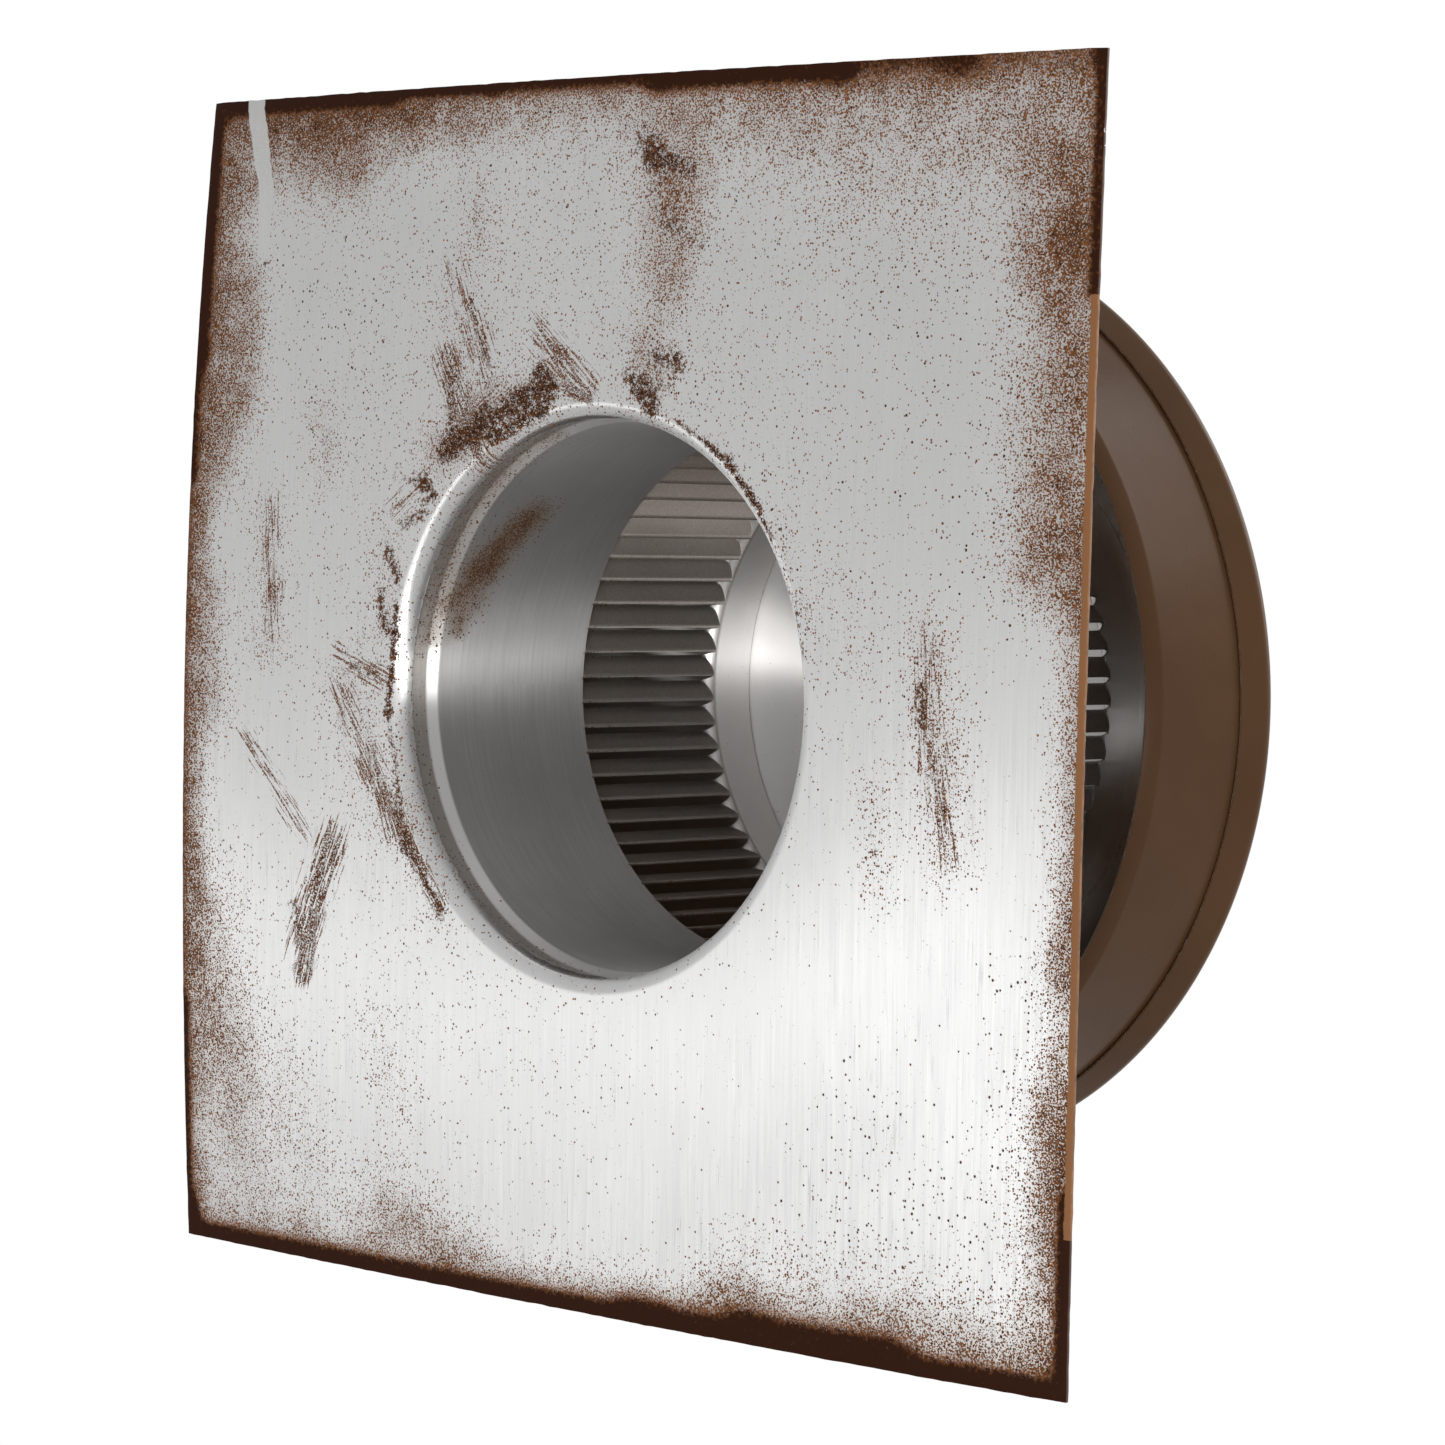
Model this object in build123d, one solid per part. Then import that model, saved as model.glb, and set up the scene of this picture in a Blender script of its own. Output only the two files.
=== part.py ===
from build123d import *

import math
import os

# Static roof vent, in millimetres. Z is the axis of the vent and points up to the cap.
# The origin is the centre of the throat, in the plane of the flashing's underside.
# Radii are measured from the axis and heights from that plane.

# Flashing: a square sheet, its hole edge drawn up into a short neck with a raw top edge
flashing_side = 338.0
flashing_sheet = 1.0
flashing_corner = 1.5
neck_radius = 76.4
neck_height = 5.2
neck_bend = 3.5

# Vent tube: one rolled sheet, its foot belled over the neck and flanged onto the flashing
tube_radius = 75.6
tube_sheet = 0.6
tube_bend = 2.5
bell_top = 11.4
shoulder_rise = 3.2
foot_flange = 7.0
head_flange = 6.0

# Louvres: blades lanced out of the tube's own wall, side by side all the way round. Each is
# bent out along a narrow land of plain wall and ends in a raw edge, short of the next land.
louvre_count = 64
louvre_phase = 1.1
louvre_land = 0.7
louvre_slot = 1.5
louvre_start = 73.3
louvre_head_gap = 16.3
louvre_lift = 3.4
louvre_lower_ramp = 3.0
louvre_upper_ramp = 3.2

# Cap: a spun shallow dome whose rim is turned down and in, ending in a raw edge
cap_crown = 154.7
cap_depth = 34.9
cap_dome_radius = 382.0
cap_sheet = 0.8
cap_bend = 3.5
cap_edge_radius = 131.4
cap_rim_angle = 22.0

# Wind band: a ring held by the cap's rim at its top flange, with its lower lip turned in
band_sheet = 0.7
band_angle = 4.5
band_drop = 35.5
band_lip_length = 5.5
band_lip_angle = 20.0
band_lip_bend = 4.0
band_flange = 2.0
band_flange_bend = 0.8

# Clearances: curved sheets that seat on each other, and the groove between band and cap edge
seat_clearance = 0.1
groove_clearance = 0.3

# Heights that follow: the cap's raw edge, the band's lower edge
cap_edge_height = cap_crown - cap_depth
band_lip_height = cap_edge_height - band_drop


def revolved_sheet(line, thickness, side):
    """A ring or dish of sheet metal: the line is one face of the sheet, in the XZ plane."""
    section = make_face(offset(line, amount=thickness, side=side, closed=True).edges())
    return revolve(Plane.XZ * section, axis=Axis.Z)


def bent_line(points, bends):
    """A line through the points with one bend radius for each point between its ends."""
    return Wire([edge for edge in FilletPolyline(*points, radius=bends).edges()])


def dome_height(radius, depth=0.0):
    """Height of the dome at a radius, on the face that lies this depth under the outside."""
    dome = cap_dome_radius - depth
    return cap_crown - cap_dome_radius + math.sqrt(dome * dome - radius * radius)


def rim_radius(height, depth=0.0):
    """Radius of the cap's turned rim at a height, on the face this depth inside the outside."""
    lean = math.radians(cap_rim_angle)
    return cap_edge_radius + (height - cap_edge_height) * math.tan(lean) - depth / math.cos(lean)


def flashing():
    """Square sheet with the neck drawn up round its hole."""
    bend_outside = neck_bend + flashing_sheet
    neck_line = bent_line(
        [
            (neck_radius + 2 * bend_outside, 0),
            (neck_radius, 0),
            (neck_radius, neck_height),
        ],
        [bend_outside],
    )
    neck = revolved_sheet(neck_line, flashing_sheet, Side.RIGHT)
    outline = RectangleRounded(flashing_side, flashing_side, flashing_corner)
    hole = Circle(neck_radius + 1.5 * bend_outside)
    return extrude(outline - hole, flashing_sheet) + neck


def louvre_end():
    """Height where the louvres stop, below a plain stretch of wall and the head flange."""
    return dome_height(tube_radius, cap_sheet + seat_clearance) - louvre_head_gap


def around(corners):
    """One closed face through the (radius, angle) corners of every louvre in turn."""
    points = []
    for louvre in range(louvre_count):
        first = louvre_phase + louvre * 360 / louvre_count
        for radius, angle in corners:
            turned = math.radians(first + angle)
            points.append((radius * math.cos(turned), radius * math.sin(turned)))
    return make_face(Polyline(*points, close=True).edges())


def louvre_sections():
    """Sections through the louvres: up to the outer face of the sheet, and up to its inner face."""
    pitch = 360 / louvre_count
    outside = tube_radius + tube_sheet
    slot_floor = tube_radius - tube_sheet
    land = math.degrees(louvre_land / tube_radius)
    free_edge = pitch - math.degrees(louvre_slot / tube_radius)
    carried_on = louvre_lift * (pitch - land) / (free_edge - land)
    backs = [
        (outside, 0),
        (outside, land),
        (outside + louvre_lift, free_edge),
        (slot_floor, free_edge),
        (slot_floor, pitch),
    ]
    fronts = [(tube_radius, 0), (tube_radius, land), (tube_radius + carried_on, pitch)]
    return around(backs), around(fronts)


def louvre_form(base_radius, section):
    """Solid form of the louvres up to one face of the sheet, with a ramp at each end."""
    lifted = base_radius + louvre_lift
    envelope = Polyline(
        (0, louvre_start),
        (base_radius, louvre_start),
        (lifted, louvre_start + louvre_lower_ramp),
        (lifted, louvre_end() - louvre_upper_ramp),
        (base_radius, louvre_end()),
        (0, louvre_end()),
        close=True,
    )
    ends = revolve(Plane.XZ * make_face(envelope.edges()), axis=Axis.Z)
    teeth = extrude(Plane.XY.offset(louvre_start) * section, louvre_end() - louvre_start)
    return teeth & ends


def louvred_tube():
    """Tube from its foot flange on the flashing to its head flange under the cap."""
    bell_radius = neck_radius + flashing_sheet + seat_clearance
    foot_bend = neck_bend - seat_clearance
    foot_height = flashing_sheet + seat_clearance
    head_depth = cap_sheet + seat_clearance
    head_radius = tube_radius + tube_sheet + head_flange
    wall = bent_line(
        [
            (bell_radius + foot_bend + foot_flange, foot_height),
            (bell_radius, foot_height),
            (bell_radius, bell_top),
            (tube_radius, bell_top + shoulder_rise),
            (tube_radius, dome_height(tube_radius, head_depth)),
            (head_radius, dome_height(head_radius, head_depth)),
        ],
        [foot_bend, tube_bend, tube_bend, tube_bend],
    )
    tube = revolved_sheet(wall, tube_sheet, Side.RIGHT)
    backs, fronts = louvre_sections()
    blades = louvre_form(tube_radius + tube_sheet, backs) - louvre_form(tube_radius, fronts)
    plain_wall = Plane.XY.offset(louvre_start) * Cylinder(
        tube_radius + tube_sheet,
        louvre_end() - louvre_start,
        align=(Align.CENTER, Align.CENTER, Align.MIN),
    )
    return tube - plain_wall + blades


def wind_band():
    """Tapered ring: flange trapped in the cap's rim, plain face, lip turned in at the bottom."""
    slope = math.tan(math.radians(band_angle))
    lip_slope = math.tan(math.radians(band_lip_angle))
    groove_radius = rim_radius(cap_edge_height, cap_sheet) - groove_clearance
    flange_depth = cap_sheet + seat_clearance
    band_top = cap_edge_height
    for _ in range(20):
        flange_radius = groove_radius + (band_top - cap_edge_height) * slope + band_flange
        reach = flange_radius - rim_radius(cap_edge_height, flange_depth)
        band_top = cap_edge_height + band_sheet + reach / math.tan(math.radians(cap_rim_angle))
    lip_rise = band_lip_length * math.cos(math.radians(band_lip_angle))
    knee_height = band_lip_height + lip_rise
    knee_radius = groove_radius - (cap_edge_height - knee_height) * slope
    face = bent_line(
        [
            (flange_radius, band_top - band_sheet),
            (groove_radius + (band_top - band_sheet - cap_edge_height) * slope, band_top - band_sheet),
            (knee_radius, knee_height),
            (knee_radius - lip_rise * lip_slope, band_lip_height),
        ],
        [band_flange_bend, band_lip_bend],
    )
    return revolved_sheet(face, band_sheet, Side.RIGHT)


def cap_form(depth, foot_height):
    """Solid under one face of the cap, from a foot height up to the dome."""
    dome_centre = cap_crown - cap_dome_radius
    dome = Pos(0, dome_centre) * Circle(cap_dome_radius - depth)
    funnel = Polyline(
        (0, foot_height),
        (rim_radius(foot_height, depth), foot_height),
        (rim_radius(cap_crown, depth), cap_crown),
        (0, cap_crown),
        close=True,
    )
    section = make_face(funnel.edges()) & dome
    corner = section.vertices().sort_by(Axis.X)[-1]
    section = fillet(corner, cap_bend - depth)
    return revolve(Plane.XZ * section, axis=Axis.Z)


def cap():
    """Shallow dome with its rim turned down and in round the top of the wind band."""
    return cap_form(0, cap_edge_height) - cap_form(cap_sheet, cap_edge_height - cap_sheet)


pieces = {
    "flashing": flashing(),
    "louvred_tube": louvred_tube(),
    "wind_band": wind_band(),
    "cap": cap(),
}

os.makedirs("parts", exist_ok=True)
for name, piece in pieces.items():
    export_step(piece, f"parts/{name}.step")
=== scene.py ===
import math

import bpy
import numpy as np
from mathutils import Matrix, Vector


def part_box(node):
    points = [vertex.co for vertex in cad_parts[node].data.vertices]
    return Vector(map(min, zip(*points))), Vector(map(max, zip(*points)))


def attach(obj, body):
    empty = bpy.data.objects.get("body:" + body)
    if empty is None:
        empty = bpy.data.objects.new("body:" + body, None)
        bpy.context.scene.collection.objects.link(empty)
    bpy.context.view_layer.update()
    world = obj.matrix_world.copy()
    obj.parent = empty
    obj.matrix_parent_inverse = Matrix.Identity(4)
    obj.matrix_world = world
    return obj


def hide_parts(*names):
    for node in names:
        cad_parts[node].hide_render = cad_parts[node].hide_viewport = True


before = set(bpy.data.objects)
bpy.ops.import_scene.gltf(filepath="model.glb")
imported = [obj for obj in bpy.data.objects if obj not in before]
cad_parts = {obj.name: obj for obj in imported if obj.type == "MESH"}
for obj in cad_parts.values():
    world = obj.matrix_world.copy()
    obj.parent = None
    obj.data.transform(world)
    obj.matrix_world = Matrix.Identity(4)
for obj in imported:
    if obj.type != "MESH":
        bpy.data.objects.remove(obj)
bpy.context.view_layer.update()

bpy.ops.object.select_all(action="DESELECT")

# The flashing is one square of mill-finish aluminium sheet, sheared to size, with its hole edge
# drawn up into a short neck. Its top took the brown paint. The underside stayed bare, apart from
# spray that drifted round the edges and smears from handling. It carries the tube's foot.
MM = 0.001
SHEET_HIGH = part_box("flashing")[1]
HALF_SIDE = SHEET_HIGH.x
NECK_TOP = SHEET_HIGH.z
NECK_RADIUS = 76.4 * MM
NECK_BEND = 4.5 * MM
NECK_MARGIN = 0.6 * MM
NECK_RAGGED = 0.22 * MM
FLASHING_SHEET = 1.0 * MM
SPOKES = 480
SIDE_PARTS = 8
FLAT_RINGS = 58
EDGE_BEVEL = 0.12 * MM
EDGE_RAGGED = 0.16 * MM
TOUCHING = 0.01 * MM
SHARP_ANGLE = 1.2
SMOOTH_UNDER = math.radians(35)


def swell(share):
    """Smooth rise from 0 to 1."""
    share = np.clip(share, 0, 1)
    return share * share * (3 - 2 * share)


def rounded(corners, bends, steps=6):
    """Points of a bent line: its corners, with an arc of so many steps at each inner one."""
    line = [Vector(corners[0])]
    for before, corner, after, bend in zip(corners, corners[1:], corners[2:], bends):
        corner = Vector(corner)
        towards = (Vector(before) - corner).normalized()
        away = (Vector(after) - corner).normalized()
        half = towards.angle(away) / 2
        centre = corner + (towards + away).normalized() * bend / math.sin(half)
        start = corner + towards * bend / math.tan(half) - centre
        stop = corner + away * bend / math.tan(half) - centre
        for step in range(steps + 1):
            line.append(centre + start.lerp(stop, step / steps).normalized() * bend)
    return [tuple(point) for point in line + [Vector(corners[-1])]]


def draw_rings(profile):
    """Extrudes the selected ring of edges through the (radius, height) points of a profile."""
    for (radius, height), (next_radius, next_height) in zip(profile, profile[1:]):
        rise = {"value": (0, 0, next_height - height)}
        bpy.ops.mesh.extrude_edges_move(TRANSFORM_OT_translate=rise)
        share = next_radius / radius
        bpy.ops.transform.resize(value=(share, share, 1), center_override=(0, 0, 0))


def apply_modifier(piece, kind, **settings):
    """Adds a modifier with these settings and applies it."""
    modifier = piece.modifiers.new(kind.lower(), kind)
    for name, value in settings.items():
        setattr(modifier, name, value)
    bpy.ops.object.modifier_apply(modifier=modifier.name)


def seam_and_face(piece, upwards):
    """Merges what the rings left doubled, and turns the faces: on balance they look up, or down."""
    bpy.ops.mesh.select_all(action="SELECT")
    bpy.ops.mesh.remove_doubles(threshold=TOUCHING)
    bpy.ops.mesh.normals_make_consistent(inside=False)
    bpy.ops.object.mode_set(mode="OBJECT")
    balance = sum(face.area * face.normal.z for face in piece.data.polygons)
    if (balance > 0) != upwards:
        bpy.ops.object.mode_set(mode="EDIT")
        bpy.ops.mesh.flip_normals()
        bpy.ops.object.mode_set(mode="OBJECT")


def thicken(piece, sheet, side, back, rim):
    """Gives the face drawn its sheet's thickness, to one side, with a finish for back and rim."""
    apply_modifier(
        piece, "SOLIDIFY", thickness=sheet, offset=side, use_even_offset=True,
        material_offset=back, material_offset_rim=rim,
    )


def ease_edges(piece):
    """Bevels the sharp edges of a piece a little."""
    apply_modifier(
        piece, "BEVEL", width=EDGE_BEVEL, segments=2, limit_method="ANGLE", angle_limit=SHARP_ANGLE
    )


bpy.ops.mesh.primitive_plane_add(size=2 * HALF_SIDE)
flashing = bpy.context.object
flashing.name = "dressed_flashing"
bpy.ops.object.mode_set(mode="EDIT")
bpy.ops.mesh.delete(type="ONLY_FACE")
bpy.ops.mesh.select_all(action="SELECT")
bpy.ops.mesh.subdivide(number_cuts=SIDE_PARTS - 1)
bpy.ops.mesh.subdivide(number_cuts=SPOKES // (4 * SIDE_PARTS) - 1)
bpy.ops.transform.vertex_random(offset=EDGE_RAGGED, seed=11)
bpy.ops.transform.resize(value=(1, 1, 0), center_override=(0, 0, 0))
neck_profile = rounded(
    [(NECK_RADIUS + NECK_BEND + NECK_MARGIN, 0), (NECK_RADIUS, 0), (NECK_RADIUS, NECK_TOP)],
    [NECK_BEND],
    steps=8,
)
neck_foot = neck_profile[0][0]
bpy.ops.mesh.primitive_circle_add(vertices=SPOKES, radius=neck_foot)
bpy.ops.mesh.select_all(action="SELECT")
bpy.ops.mesh.bridge_edge_loops(number_cuts=FLAT_RINGS, interpolation="LINEAR", smoothness=0)
bpy.ops.mesh.select_all(action="DESELECT")
bpy.ops.mesh.select_mode(type="EDGE")
bpy.ops.object.mode_set(mode="OBJECT")
for edge in flashing.data.edges:
    ends = [flashing.data.vertices[index].co for index in edge.vertices]
    edge.select = all(abs(end.length - neck_foot) < 2 * TOUCHING for end in ends)
bpy.ops.object.mode_set(mode="EDIT")
draw_rings(neck_profile)
bpy.ops.transform.vertex_random(offset=NECK_RAGGED, seed=4)
seam_and_face(flashing, upwards=False)

# How far the sheet has sprung off its plane, in millimetres: at the middle of its left and its
# right side, and how much more at that side's upper and lower corner
LEFT_RISE = (-1.0, 8.1, 5.8)
RIGHT_RISE = (4.3, 1.8, 0.5)
MIDDLE_RISE = 1.0
FLAT_RADIUS = 82 * MM
SPRUNG_WIDTH = 87 * MM


def sheet_lift(x, y):
    """Height of the sheet's underside: flat round the neck, sprung up towards the corners."""
    across = x / HALF_SIDE
    down = y / HALF_SIDE
    middle, upper, lower = LEFT_RISE if across < 0 else RIGHT_RISE
    edge = middle + (upper if down < 0 else lower) * down * down
    free = swell((math.hypot(x, y) - FLAT_RADIUS) / SPRUNG_WIDTH)
    return free * (edge * across * across + MIDDLE_RISE * (1 - across * across)) * MM


for vertex in flashing.data.vertices:
    x, y, z = vertex.co
    vertex.co.z = z + sheet_lift(x, y)

# Where brown paint lies on the underside, in millimetres across and down the sheet. Each stroke
# runs from one point to another with a width and a cover. Mist is fine stipple that drifted round
# the edges and rim is the film right at them, drops are larger specks, blots are dabs of wet
# paint, and smears are finger marks.
MIST = [
    (0, -70, 0, -140, 180, 0.17),
    (-60, 20, -60, 60, 150, 0.06),
    (-152, -168, -85, -170, 32, 0.92),
    (-140, -156, -106, -150, 30, 0.55),
    (-112, -164, -50, -168, 26, 0.50),
    (-170, -170, -170, 168, 15, 0.8),
    (-169, -171, 124, -171, 16, 0.8),
    (124, -171, 169, -171, 16, 0.85),
    (-166, -160, -166, -70, 34, 0.85),
    (-150, -112, -148, -84, 20, 0.60),
    (-169, -70, -169, 100, 20, 0.58),
    (-158, -24, -156, 8, 16, 0.42),
    (-160, 70, -152, 150, 32, 0.46),
    (-150, 105, -118, 140, 36, 0.34),
    (-168, 158, -168, 168, 15, 0.9),
    (-169, 172, 60, 172, 17, 0.8),
    (-140, 168, 60, 167, 24, 0.5),
    (-80, 148, -50, 160, 24, 0.46),
    (20, 171, 60, 171, 18, 0.8),
    (60, 171, 112, 171, 22, 0.9),
    (60, 158, 130, 160, 30, 0.45),
    (112, 171, 165, 171, 30, 0.75),
    (169, 100, 169, 168, 28, 0.75),
    (166, -169, 164, -120, 34, 0.62),
    (162, -120, 160, -45, 32, 0.80),
    (170, -45, 170, 60, 17, 0.80),
    (170, 60, 170, 135, 19, 0.75),
    (-60, -164, 60, -166, 24, 0.42),
    (60, -162, 165, -158, 34, 0.52),
    (90, -140, 160, -135, 40, 0.26),
    (26, -150, 26, -142, 27, 0.48),
    (28, -138, 28, -120, 22, 0.44),
    (22, -118, 20, -98, 18, 0.28),
    (20, -90, 22, -84, 18, 0.32),
    (-50, -138, -48, -124, 15, 0.28),
    (-112, -76, -108, -64, 16, 0.32),
    (-62, -66, -20, -86, 17, 0.46),
    (-56, -105, -50, -75, 18, 0.26),
    (-84, -40, -84, -14, 14, 0.30),
    (-98, 2, -80, 34, 20, 0.34),
    (-76, 38, -58, 62, 13, 0.30),
    (120, -20, 128, 34, 17, 0.40),
    (104, 20, 106, 44, 13, 0.27),
    (66, -50, 80, -20, 9, 0.24),
    (90, -32, 96, -12, 14, 0.18),
    (-134, -46, -132, -10, 15, 0.38),
    (-84, 98, -74, 120, 16, 0.24),
]
RIM = [
    (-169, -169, -169, -95, 12, 1.25),
    (-169, -95, -169, -60, 8, 1.0),
    (-169, -60, -169, 100, 5, 0.7),
    (-169, 100, -169, 168, 7, 1.0),
    (-169, -169, -88, -169, 10, 1.3),
    (-88, -169, -44, -169, 7, 1.15),
    (-44, -169, 20, -169, 8, 1.0),
    (20, -169, 84, -169, 10.5, 1.25),
    (84, -169, 124, -169, 13, 0.8),
    (124, -169, 169, -169, 14, 0.6),
    (168, -169, 168, -108, 6, 0.95),
    (169, 119, 169, 168, 8.5, 1.35),
    (-169, 169, 30, 169, 10, 1.3),
    (20, 169, 66, 169, 13, 1.3),
    (62, 169, 112, 169, 16, 1.5),
    (108, 169, 168, 169, 11, 1.35),
    (-168, 160, -168, 168, 9, 1.4),
]
DROPS = [
    (0, -70, 0, -130, 160, 0.12),
    (110, 120, 150, 150, 50, 1.0),
    (158, 70, 158, 150, 30, 1.4),
    (120, -150, 150, -60, 56, 0.8),
    (115, 141, 116, 142, 4, 2.5),
    (-140, -112, -100, -100, 34, 0.7),
    (-140, 100, -130, 140, 34, 0.5),
    (24, -92, 24, -86, 26, 0.8),
    (120, -10, 126, 25, 14, 0.8),
    (60, -60, 80, -20, 10, 0.9),
]
BLOTS = [
    (13, -153, 21, -146, 10, 0.80),
    (17, -147, 32, -143, 10, 0.90),
    (20, -136, 24, -128, 9, 0.68),
    (28, -128, 38, -122, 10, 0.70),
    (22, -112, 22, -104, 7, 0.60),
    (12, -88, 18, -84, 9, 0.92),
    (17, -84, 21, -79, 8, 1.0),
    (22, -93, 31, -92, 8, 0.95),
    (24, -84, 30, -88, 7, 0.70),
    (-50, -135, -48, -126, 9, 0.62),
    (-60, -66, -44, -74, 9, 1.05),
    (-44, -74, -30, -81, 8, 1.05),
    (-30, -81, -19, -84, 9, 1.15),
    (-22, -89, -19, -84, 8, 1.15),
    (-58, -90, -57, -68, 7, 0.90),
    (-48, -72, -44, -80, 7, 0.80),
    (-80, -60, -70, -58, 8, 0.72),
    (-68, -58, -64, -54, 7, 1.0),
    (-76, -46, -68, -49, 8, 0.88),
    (-82, -38, -78, -30, 7, 0.95),
    (-85, -26, -83, -16, 7, 0.92),
    (-98, -5, -86, -2, 7, 0.80),
    (-82, 28, -72, 45, 7, 0.80),
    (-72, 45, -57, 63, 7, 0.92),
    (-116, -72, -104, -68, 9, 0.62),
    (30, -76, 40, -71, 3.5, 0.9),
    (42, -70, 50, -65, 4, 1.15),
    (50, -65, 60, -54, 4, 1.2),
    (60, -54, 66, -45, 3.5, 0.95),
    (74, -30, 78, -14, 3.5, 0.8),
    (-40, -70, -20, -78, 4, 1.2),
    (-78, -22, -81, 8, 4, 1.0),
    (-81, 8, -74, 36, 4, 0.85),
    (118, -8, 119, 2, 7, 0.92),
    (122, 14, 128, 29, 9, 0.68),
    (-133, -47, -131, -36, 7, 0.68),
    (-120, 66, -113, 84, 8, 0.80),
    (-139, -121, -141, -120, 3, 1.1),
    (104, 30, 104, 36, 9, 0.58),
    (-10, -82, -3, -82, 5, 0.85),
]
SMEARS = [
    (-57, -116, -42, -84, 18, 0.80),
    (-51, -108, -42, -90, 5, 1.10),
    (-60, -92, -46, -66, 15, 1.0),
    (-22, -99, -4, -84, 14, 0.95),
    (-12, -84, -3, -82, 6, 1.15),
    (-102, -8, -84, -2, 11, 0.85),
    (-102, 4, -86, 26, 18, 0.82),
    (-88, 20, -78, 42, 10, 0.95),
    (-78, 34, -58, 61, 8, 1.05),
    (-133, -50, -131, -14, 12, 0.85),
    (-142, 18, -116, 44, 11, 0.85),
    (-103, 46, -116, 76, 17, 1.05),
    (-111, 68, -116, 86, 9, 1.30),
    (119, -18, 121, 10, 12, 0.88),
    (122, 2, 128, 34, 12, 0.85),
    (-66, -60, -80, -50, 11, 0.78),
    (-60, -70, -40, -84, 12, 0.75),
]


def laid_on(strokes, spots):
    """How strongly each stroke lies on each spot, one row to a stroke, and how far off it is."""
    covers = []
    reaches = []
    for x0, y0, x1, y1, width, cover in strokes:
        start = np.array([x0, y0], float)
        run = np.array([x1, y1], float) - start
        along = np.clip((spots - start) @ run / (run @ run), 0, 1)
        reach = np.linalg.norm(spots - start - along[:, None] * run, axis=1) / width
        covers.append(np.clip(cover * swell(1 - reach), 0, 1))
        reaches.append(reach)
    return np.array(covers), np.array(reaches)


def sprayed(strokes, spots):
    """The cover of all the strokes together on each spot."""
    return 1 - np.prod(1 - laid_on(strokes, spots)[0], axis=0)


def smeared(strokes, spots):
    """The nearest stroke's direction and the smear's cover on each spot."""
    covers, reaches = laid_on(strokes, spots)
    runs = np.array([(x1 - x0, y1 - y0) for x0, y0, x1, y1, *_ in strokes], float)
    runs /= np.linalg.norm(runs, axis=1)[:, None]
    return np.column_stack([runs[np.argmin(reaches, axis=0)], np.max(covers, axis=0)])


def keep(piece, name, values):
    """Keeps one number, or three, for each vertex of a piece, where its finish can read them."""
    kind, entry = ("FLOAT", "value") if values.ndim == 1 else ("FLOAT_VECTOR", "vector")
    piece.data.attributes.new(name, kind, "POINT").data.foreach_set(entry, values.ravel())


spots = np.array([vertex.co[:2] for vertex in flashing.data.vertices]) / MM
keep(flashing, "mist", sprayed(MIST, spots))
keep(flashing, "rim", sprayed(RIM, spots))
keep(flashing, "drops", sprayed(DROPS, spots))
keep(flashing, "blots", sprayed(BLOTS, spots))
keep(flashing, "smears", smeared(SMEARS, spots))


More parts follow.
